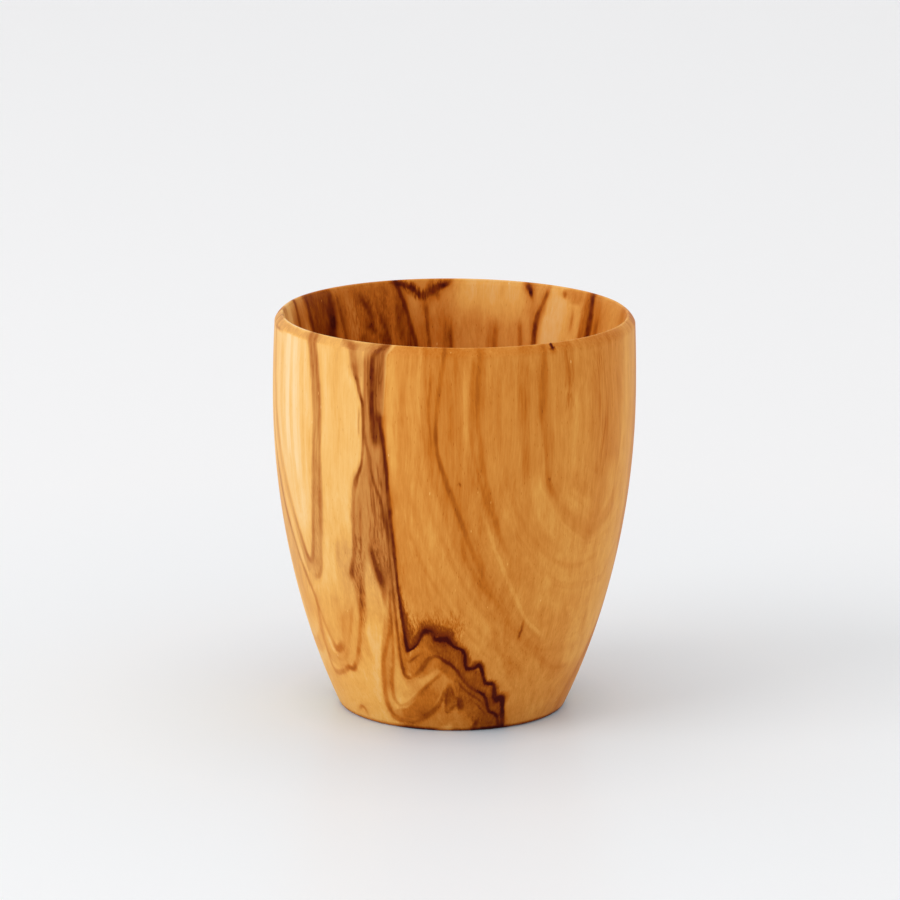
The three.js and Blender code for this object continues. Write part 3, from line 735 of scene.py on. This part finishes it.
wash(BOTH, .68, 1.1, (-129, 60.4, .7), (-129.5, 55), (-131, 48), (-132.5, 40), (-133.5, 33), (-133.5, 27),
     (-132, 22.5, .9), (-129.5, 21, .8), (-127, 23.5, .8), (-125.5, 29), (-124.5, 37), (-124, 46),
     (-122.5, 54), (-120, 60, .7))
draw("vein", .34, .44, (-131, 60.4), (-131.8, 54), (-133.4, 46), (-135, 38), (-135.8, 30), (-135, 24),
     (-132.4, 20), (-129, 18.8), (-125.8, 21), (-123.8, 28), (-122.4, 37), (-121.6, 46), (-120, 54),
     (-117.6, 60), ring=-.6)
wash(BOTH, .62, 1.4, (87, 68), (87, 50), (86, 40), (84, 30), (82, 22))
wash(BOTH, .64, 1.6, (97, 64), (98, 50), (97, 40), (94, 31), (89, 23), (83, 16), (76, 10), (69, 5),
     (63, 0), (60, -5))
wash(BOTH, .62, 1.4, (-95, 64), (-94, 50), (-95, 40), (-97, 30), (-99, 20), (-100, 10), (-100, 2),
     (-100, -6))
rings.append((3.4, evenly([(97, 64), (97, 40), (83, 16), (60, -5)], 1)))
rings.append((-1.4, evenly([(-95, 64), (-95, 40), (-100, 10), (-100, -6)], 1)))

# The long line parts the ground on its left from the ground on its right. The bevel, cut across the
# fibres, drinks more oil and is darker. The edge of the foot is painted darker: a painted contact shadow
# where the cup stands, and end grain that drinks oil. The crest is painted paler, a painted highlight
# along the sanded edge. Under the foot and at the bottom of the hollow both grounds run out into
# plain wood.
parting = evenly([(-12, 120), (-14, 80), (-17, 62), (-19, 60), (-21.4, 58.5), (-21.6, 55), (-22, 51.5),
                  (-22.6, 49), *long_line[2:], *zigzag], .2, sharp=True)
WHOLE_CUP = 400
SIDE_LIMIT = 3.0
near, signed, step, gap = measure(parting, WHOLE_CUP)
side = np.full(len(up), SIDE_LIMIT)
side[near] = np.clip(signed, -SIDE_LIMIT, SIDE_LIMIT)
row_radius, row_height = section.T
row_number = np.arange(rows)
outer_rows = row_number < crest_row
LIP_DARKER = 0.05
LIP_DARK_FROM = rim[1] - 0.5
LIP_DARK_FADE = 1.1
# The crest and the top of the mouth are painted paler, a painted highlight along the sanded edge
CREST_PAINTED_HIGHLIGHT = 0.06
CREST_ROWS = 4
on_bevel = np.clip((row_height - LIP_DARK_FROM) / LIP_DARK_FADE, 0, 1) * outer_rows
on_crest_highlight = (row_number >= crest_row) & (row_number < crest_row + CREST_ROWS)
# The foot's eased edge is painted darker: a painted contact shadow where the cup stands, and end grain that
# drinks oil
FOOT_OIL_AND_PAINTED_SHADE = 0.3
FOOT_DARK_HEIGHT = FOOT_EASE + 0.25
FOOT_DARK_FADE = 0.5
FOOT_DARK_REACH = 2
FOOT_REACH_FADE = 1.5
foot_oil_and_painted_shade = np.clip((FOOT_DARK_HEIGHT - row_height) / FOOT_DARK_FADE, 0, 1) * outer_rows
foot_oil_and_painted_shade *= np.clip((row_radius - FOOT_RADIUS + FOOT_DARK_REACH) / FOOT_REACH_FADE, 0, 1)
edge_tone_and_painted_light = np.repeat(LIP_DARKER * on_bevel - CREST_PAINTED_HIGHLIGHT * on_crest_highlight + FOOT_OIL_AND_PAINTED_SHADE * foot_oil_and_painted_shade, columns)
BARE_UNDER_RADIUS = FOOT_RADIUS - 1
BARE_INSIDE_HEIGHT = FLOOR + 11
BARE_FADE = 9
BARE_CURVE = 0.8
bare_under = (BARE_UNDER_RADIUS - row_radius) / BARE_FADE
bare_inside = (BARE_INSIDE_HEIGHT - row_height) / BARE_FADE
bare_share = np.clip(np.where(outer_rows, bare_under, bare_inside), 0, 1) ** BARE_CURVE
bare = np.repeat(bare_share, columns)
for wood_tone in BOTH:
    wood_tone += (AMBER - wood_tone) * bare
ground = np.stack([left_wood + edge_tone_and_painted_light, right_wood + edge_tone_and_painted_light, side], 1)

# How far through the growth rings each point is, weighed from the drawn lines whose ring is known. The
# fine rings between the drawn ones follow it.
RING_SOFTNESS = 0.25
RING_FALL = 2.2
nearness = np.zeros(len(up))
growth = np.zeros(len(up))
for ring, path in rings:
    near, signed, step, gap = measure(path, WHOLE_CUP)
    weight = 1 / (gap + RING_SOFTNESS) ** RING_FALL
    nearness[near] += weight
    growth[near] += ring * weight
growth /= nearness


def carry(name, values, middle):
    """Stores three values for each point of the cup, with the same ones for both middles."""
    stored = cup_mesh.attributes.new(name, "FLOAT_VECTOR", "POINT")
    every_point = np.concatenate([values, [middle, middle]])
    stored.data.foreach_set("vector", every_point.astype(np.float32).ravel())


carry("ground", ground, (AMBER, AMBER, SIDE_LIMIT))
MIDDLE_RING = (2, 2, 2)
carry("growth", np.stack([growth, growth, growth], 1), MIDDLE_RING)
for kind, sheets in marks.items():
    for number, sheet in enumerate(sheets):
        carry(f"{kind}_{number}", sheet["ink"], NO_MARK)

# The finish: oil rubbed into sanded wood. Fibres and pores run up the block, so they are cut along on
# the walls and across on the lip and under the foot.
wood = bpy.data.materials.new("oiled_olive_wood")
wood.use_nodes = True
tree = wood.node_tree
oiled = tree.nodes["Principled BSDF"]
cup_mesh.materials.append(wood)


def plug(socket, value):
    """Feeds a socket from another socket or sets it to a plain value."""
    if isinstance(value, bpy.types.NodeSocket):
        tree.links.new(value, socket)
    elif value is not None:
        socket.default_value = value


def node(kind, *values, **settings):
    """A new node in the current tree, with its inputs in order and its settings by name."""
    made = tree.nodes.new("ShaderNode" + kind)
    for name, setting in settings.items():
        setattr(made, name, setting)
    for socket, value in zip(made.inputs, values):
        plug(socket, value)
    return made


def calc(operation, *values):
    """The result of one sum."""
    return node("Math", *values, operation=operation).outputs[0]


def ease(value, start, end, first=0.0, last=1.0):
    """A smooth change from first to last while the value goes from start to end."""
    return node("MapRange", value, start, end, first, last, interpolation_type="SMOOTHSTEP").outputs[0]


def toward(share, value, goal):
    """A value moved by a share of the way to a goal."""
    return node("Mix", share, None, value, goal).outputs[0]


def grain(place, scale, detail, roughness):
    """Noise from 0 to 1, with so many lumps to the millimetre each way."""
    stretched = node("VectorMath", place, scale, operation="MULTIPLY").outputs[0]
    return node("TexNoise", stretched, None, 1.0, detail, roughness).outputs[0]


def vary(tone, noise, depth):
    """Moves a tone up and down with a noise that runs from 0 to 1."""
    return calc("MULTIPLY_ADD", calc("SUBTRACT", noise, .5), depth, tone)


def layer(name):
    """The three values that the points carry under a name."""
    return node("SeparateXYZ", node("Attribute", attribute_name=name).outputs["Vector"]).outputs


TO_MM = (1 / MM, 1 / MM, 1 / MM)
in_block = node("VectorMath", node("TexCoord").outputs["Object"], TO_MM, operation="MULTIPLY").outputs[0]
slow = node("VectorMath", in_block, (.09, .09, .05), operation="MULTIPLY").outputs[0]
drift = node("TexNoise", slow, None, 1.0, 1.0, .5).outputs["Color"]
wander = node("VectorMath", drift, (3, 3, 0), in_block, operation="MULTIPLY_ADD").outputs[0]
drifted = node("VectorMath", drift, (5, 5, 8), in_block, operation="MULTIPLY_ADD").outputs[0]
fibre = grain(wander, (4, 4, .22), 3.0, .6)
streak = grain(wander, (.9, .9, .04), 3.0, .6)
patch = grain(in_block, (.4, .4, .16), 3.0, .6)
mottle = grain(drifted, (.8, .8, .35), 4.0, .65)
ragged = calc("SUBTRACT", grain(wander, (2.4, 2.4, .35), 2.0, .6), .5)
fray = vary(calc("MULTIPLY", ragged, .5), fibre, .5)

SEAM_FRAY = .5
SEAM_SOFTNESS = .2
left, right, seam = layer("ground")
seam_edge = ease(calc("MULTIPLY_ADD", ragged, SEAM_FRAY, seam), -SEAM_SOFTNESS, SEAM_SOFTNESS)
tone = toward(seam_edge, left, right)
STREAK_DEPTH = .19
PATCH_DEPTH = .12
MOTTLE_DEPTH = .1
tone = vary(tone, streak, STREAK_DEPTH)
tone = vary(tone, patch, PATCH_DEPTH)
tone = vary(tone, mottle, MOTTLE_DEPTH)

# Fine growth rings, wavering, and stronger in some places than in others
RING_WAVER = .5
RING_FRAY = .12
FINE_RINGS = 7.0
WIDE_RINGS = 2.1
FINE_RING_DEPTHS = (.02, .08)
WIDE_RING_DEPTH = .08
FIBRE_DEPTH = .16
ring_drift = vary(layer("growth")[0], patch, RING_WAVER)
ring_place = calc("MULTIPLY_ADD", ragged, RING_FRAY, ring_drift)
fine_rings = node("TexNoise", None, ring_place, FINE_RINGS, 2.0, .55, noise_dimensions="1D").outputs[0]
wide_rings = node("TexNoise", None, ring_place, WIDE_RINGS, 1.0, .5, noise_dimensions="1D").outputs[0]
tone = vary(tone, fine_rings, ease(patch, .35, .65, *FINE_RING_DEPTHS))
tone = vary(tone, wide_rings, WIDE_RING_DEPTH)
tone = vary(tone, fibre, FIBRE_DEPTH)

# The marks, in the order that they darken the wood: stains, then shades, then veins
STAIN_TONE = 0.9
STAIN_FRAY = .9
flecks = ease(grain(wander, (3.4, 3.4, .13), 2.0, .6), .42, .68, 0.0, 1.2)
for number in range(len(marks["stain"])):
    offset, half_width, ink = layer(f"stain_{number}")
    away = calc("DIVIDE", calc("ABSOLUTE", calc("MULTIPLY_ADD", ragged, STAIN_FRAY, offset)), half_width)
    cover = ease(away, .4, 1.25, 1.0, 0.0)
    dark = calc("MULTIPLY", calc("MULTIPLY", cover, calc("MAXIMUM", ink, 0.0)), flecks)
    tone = toward(dark, tone, STAIN_TONE)
    tone = calc("MULTIPLY_ADD", cover, calc("MINIMUM", ink, 0.0), tone)

SHADE_TONE = 0.9
SHADE_FRAY = .5
scorch = ease(fibre, .3, .7, .8, 1.2)
for number in range(len(marks["shade"])):
    offset, half_width, ink = layer(f"shade_{number}")
    inward = calc("MULTIPLY_ADD", fray, SHADE_FRAY, offset)
    length = calc("MULTIPLY", half_width, ease(fibre, .3, .7, .65, 1.35))
    fade = ease(calc("DIVIDE", inward, length), 0.0, 1.1, 1.0, 0.0)
    cover = calc("MULTIPLY", calc("MULTIPLY", fade, ease(inward, -.25, .1)), ink)
    tone = toward(calc("MULTIPLY", cover, scorch), tone, SHADE_TONE)

VEIN_FRAY = .6
uneven = ease(grain(in_block, (.45, .45, .3), 2.0, .6), .32, .62, .74, 1.06)
for number in range(len(marks["vein"])):
    offset, half_width, ink = layer(f"vein_{number}")
    away = calc("DIVIDE", calc("ABSOLUTE", calc("MULTIPLY_ADD", fray, VEIN_FRAY, offset)), half_width)
    cover = calc("ADD", ease(away, .3, 1.5, .7, 0.0), ease(away, .7, 3.2, .3, 0.0))
    cover = calc("MULTIPLY", calc("MULTIPLY", cover, ink), uneven)
    tone = toward(cover, tone, 1.0)

# Pores: most are dark, and a few are painted paler, painted glints where open pores catch the light
PORE_DARKER = .1
PORE_GLINT_PALER = -.35
pore_place = node("VectorMath", wander, (2.6, 2.6, .55), operation="MULTIPLY").outputs[0]
pores = node("TexVoronoi", pore_place, None, 1.0)
pore_kind = node("SeparateColor", pores.outputs["Color"]).outputs[0]
pore = ease(pores.outputs["Distance"], .08, .2, 1.0, 0.0)
tone = calc("MULTIPLY_ADD", calc("MULTIPLY", pore, ease(pore_kind, .5, .75)), PORE_DARKER, tone)
# Painted glints: a few pores are painted paler
painted_pore_glint = calc("MULTIPLY", pore, ease(pore_kind, .004, .02, 1.0, 0.0))
tone = calc("MULTIPLY_ADD", painted_pore_glint, PORE_GLINT_PALER, tone)


def paint(red, green, blue):
    """A colour written in screen levels, as the light that it stands for."""
    shares = np.array([red, green, blue]) / 255
    return (*np.where(shares <= .04045, shares / 12.92, ((shares + .055) / 1.055) ** 2.4), 1)


def tones(share, colours):
    """Colours by place from 0 to 1. In the wood 0 is the palest tone and 1 is the darkest line."""
    made = node("ValToRGB", share)
    stops = made.color_ramp.elements
    for stop, place in zip(stops, (min(colours), max(colours))):
        stop.position = place
        stop.color = colours[place]
    for place in sorted(colours)[1:-1]:
        stops.new(place).color = colours[place]
    return made.outputs[0]


# Two sets of colours by tone: the amber of most of the wood, and a smokier brown for the front left
AMBER_TONES = {0: paint(250, 224, 180), .2: paint(247, 206, 142), .4: paint(240, 177, 88),
               .55: paint(221, 146, 63), .7: paint(197, 111, 28), .82: paint(154, 75, 6),
               .92: paint(115, 40, 0), 1: paint(68, 6, 0)}
SMOKY_TONES = {0: paint(250, 224, 180), .2: paint(247, 206, 143), .32: paint(244, 191, 112),
               .4: paint(238, 178, 94), .47: paint(224, 162, 88), .55: paint(211, 146, 74),
               .7: paint(187, 112, 48), .82: paint(148, 76, 18), .92: paint(113, 41, 2),
               1: paint(70, 7, 0)}
SMOKE_RISES = (15, 27)
SMOKE_ENDS = (0, 14)
block_sides = node("SeparateXYZ", in_block).outputs
smoke = calc("MULTIPLY", ease(block_sides["Z"], *SMOKE_RISES), ease(block_sides["Y"], *SMOKE_ENDS, 1, 0))
smoke = calc("MULTIPLY", calc("SUBTRACT", 1.0, seam_edge), smoke)
colour = node("Mix", smoke, data_type="RGBA")
plug(colour.inputs[6], tones(tone, AMBER_TONES))
plug(colour.inputs[7], tones(tone, SMOKY_TONES))
tree.links.new(colour.outputs[2], oiled.inputs["Base Color"])
plug(oiled.inputs["Roughness"], ease(fibre, .2, .8, .5, .38))
oiled.inputs["Specular IOR Level"].default_value = .06
bump = node("Bump")
bump.inputs["Strength"].default_value = .12
bump.inputs["Distance"].default_value = .0002
plug(bump.inputs["Height"], calc("MULTIPLY_ADD", pore, -.6, fibre))
tree.links.new(bump.outputs[0], oiled.inputs["Normal"])

# The floor: a pale polished sheet that curves up far away on all sides, so no horizon shows. Close to
# the cup it is painted darker and cooler: a painted shade round the foot, and a cool tint against the
# warm light that the wood throws on it.
SHEET_FLAT = 1.8
SHEET_CURVE = 0.9
SHEET_RINGS = (.1, .3, .8, 1.3)
SHEET_CURVE_STEPS = 12
SHEET_SPOKES = 96
PAINTED_SHADE_AND_COOL_REACH = 0.16
profile = [(reach, 0) for reach in SHEET_RINGS]
for climb in np.linspace(0, math.pi / 2, SHEET_CURVE_STEPS + 1):
    profile.append((SHEET_FLAT + SHEET_CURVE * math.sin(climb), SHEET_CURVE * (1 - math.cos(climb))))
sheet_points = []
for reach, rise in profile:
    for number in range(SHEET_SPOKES):
        angle = 2 * math.pi * number / SHEET_SPOKES
        sheet_points.append((reach * math.cos(angle), reach * math.sin(angle), rise))
sheet_faces = [tuple(range(SHEET_SPOKES))]
for band in range(len(profile) - 1):
    for number in range(SHEET_SPOKES):
        here = band * SHEET_SPOKES + number
        there = band * SHEET_SPOKES + (number + 1) % SHEET_SPOKES
        sheet_faces.append((here, here + SHEET_SPOKES, there + SHEET_SPOKES, there))
sheet_mesh = bpy.data.meshes.new("pale_floor")
sheet_mesh.from_pydata(sheet_points, [], sheet_faces)
sheet_mesh.shade_smooth()
pale_floor = bpy.data.objects.new("pale_floor", sheet_mesh)
bpy.context.scene.collection.objects.link(pale_floor)
polished = bpy.data.materials.new("polished_white")
polished.use_nodes = True
tree = polished.node_tree
polish = tree.nodes["Principled BSDF"]
from_cup = node("VectorMath", node("TexCoord").outputs["Object"], operation="LENGTH").outputs["Value"]
# Near the cup the sheet is painted darker and cooler: painted shade round the foot
SHEET_TONES_WITH_PAINTED_SHADE = {.11: (.72, .83, .9, 1), .16: (.82, .89, .94, 1), .35: (.9, .93, .955, 1),
               .95: paint(249, 249, 250)}
plug(polish.inputs["Base Color"], tones(calc("DIVIDE", from_cup, PAINTED_SHADE_AND_COOL_REACH), SHEET_TONES_WITH_PAINTED_SHADE))
polish.inputs["Roughness"].default_value = .35
polish.inputs["Specular IOR Level"].default_value = .05
sheet_mesh.materials.append(polished)

# The light: a soft square lamp, a metre across, up on the left, and an even white room. Together they
# show a colour about as it is written.
LAMP_PLACE = (-1.2, -.62, .9)
LAMP_WATTS = 7.3
LAMP_SIDE = 1
ROOM_STRENGTH = .845
CUP_MIDDLE = Vector((0, 0, .03))
lamp = bpy.data.lights.new("soft_lamp", "AREA")
lamp.energy = LAMP_WATTS
lamp.size = LAMP_SIDE
lamp_object = bpy.data.objects.new("soft_lamp", lamp)
lamp_object.location = LAMP_PLACE
lamp_object.rotation_mode = "QUATERNION"
lamp_object.rotation_quaternion = (CUP_MIDDLE - lamp_object.location).to_track_quat("-Z", "Y")
bpy.context.scene.collection.objects.link(lamp_object)
room = bpy.data.worlds.new("white_room")
room.use_nodes = True
walls_of_room = room.node_tree.nodes["Background"]
walls_of_room.inputs["Color"].default_value = (1, 1, 1, 1)
walls_of_room.inputs["Strength"].default_value = ROOM_STRENGTH
bpy.context.scene.world = room
bpy.context.scene.view_settings.view_transform = "Standard"

# The camera: a long lens, one long step away and a little above the cup. It looks at a point above the
# middle of the cup and is a hair off level.
CAMERA_BACK = .7
CAMERA_RISE = math.radians(13.793)
CAMERA_ROLL = math.radians(.451)
LOOK_AT = Vector((-.00058, 0, .03884))
LENS = 186.3
SENSOR = 36
camera = bpy.data.cameras.new("camera")
camera.lens = LENS
camera.sensor_width = SENSOR
camera.clip_start = .01
camera_object = bpy.data.objects.new("camera", camera)
from_middle = Vector((0, -math.cos(CAMERA_RISE), math.sin(CAMERA_RISE))) * CAMERA_BACK
camera_object.location = CUP_MIDDLE + from_middle
camera_object.rotation_mode = "QUATERNION"
level = (LOOK_AT - camera_object.location).to_track_quat("-Z", "Y")
camera_object.rotation_quaternion = level @ Matrix.Rotation(CAMERA_ROLL, 3, "Z").to_quaternion()
bpy.context.scene.collection.objects.link(camera_object)
bpy.context.scene.camera = camera_object

# Brings the scene up to date
bpy.context.view_layer.update()
